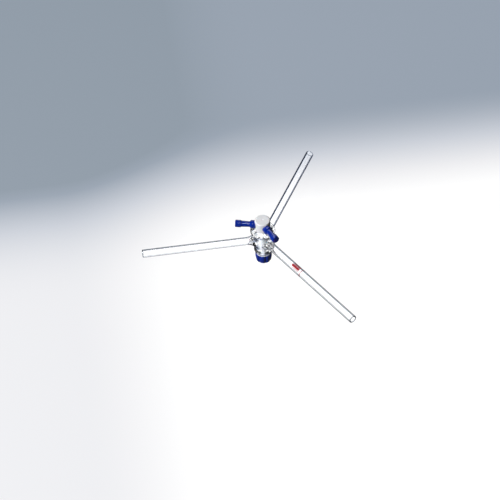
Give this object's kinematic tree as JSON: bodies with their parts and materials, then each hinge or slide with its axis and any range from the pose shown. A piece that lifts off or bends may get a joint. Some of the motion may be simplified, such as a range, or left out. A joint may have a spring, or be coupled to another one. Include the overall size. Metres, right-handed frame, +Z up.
{
  "type": "three-way glass stopcock",
  "caption": "Three-way laboratory stopcock: glass barrel with radial tube arms, PTFE key with plastic grips, and a plastic nut.",
  "frame": {"origin": "on the key's axis, at the flat underside of the nut", "axes": "+Z up along the key's axis; the left arm points to -X; the near arm is 120 degrees from it, towards +X and -Y, and the far arm towards +X and +Y"},
  "size_m": [0.1948, 0.2384, 0.0549],
  "materials": {
    "glass": "fire-polished clear borosilicate glass",
    "ptfe": "turned white PTFE, satin",
    "blue_plastic": "glossy moulded dark blue plastic",
    "black_rubber": "matt black rubber"
  },
  "bodies": {
    "glass": {"glass_body": "glass"},
    "key": {"key": "ptfe", "grip_left": "blue_plastic", "grip_right": "blue_plastic", "slip_washer": "ptfe"},
    "ring": {"o_ring": "black_rubber"},
    "nut": {"lock_nut": "blue_plastic"}
  },
  "joints": [
    {"name": "key_turn", "type": "hinge", "parent": "glass", "child": "key", "pos_m": [0, 0, 0.0276], "axis": [0, 0, 1], "continuous": true},
    {"name": "nut_feed", "type": "slide", "parent": "key", "child": "ring", "axis": [0, 0, 1], "range_m": [-0.0015, 0]},
    {"name": "nut_turn", "type": "hinge", "parent": "ring", "child": "nut", "pos_m": [0, 0, 0.005], "axis": [0, 0, 1], "range_deg": [-360, 0]}
  ],
  "couplings": [
    {"joint": "nut_feed", "follows": "nut_turn", "m_per_rad": 0.00023873}
  ]
}
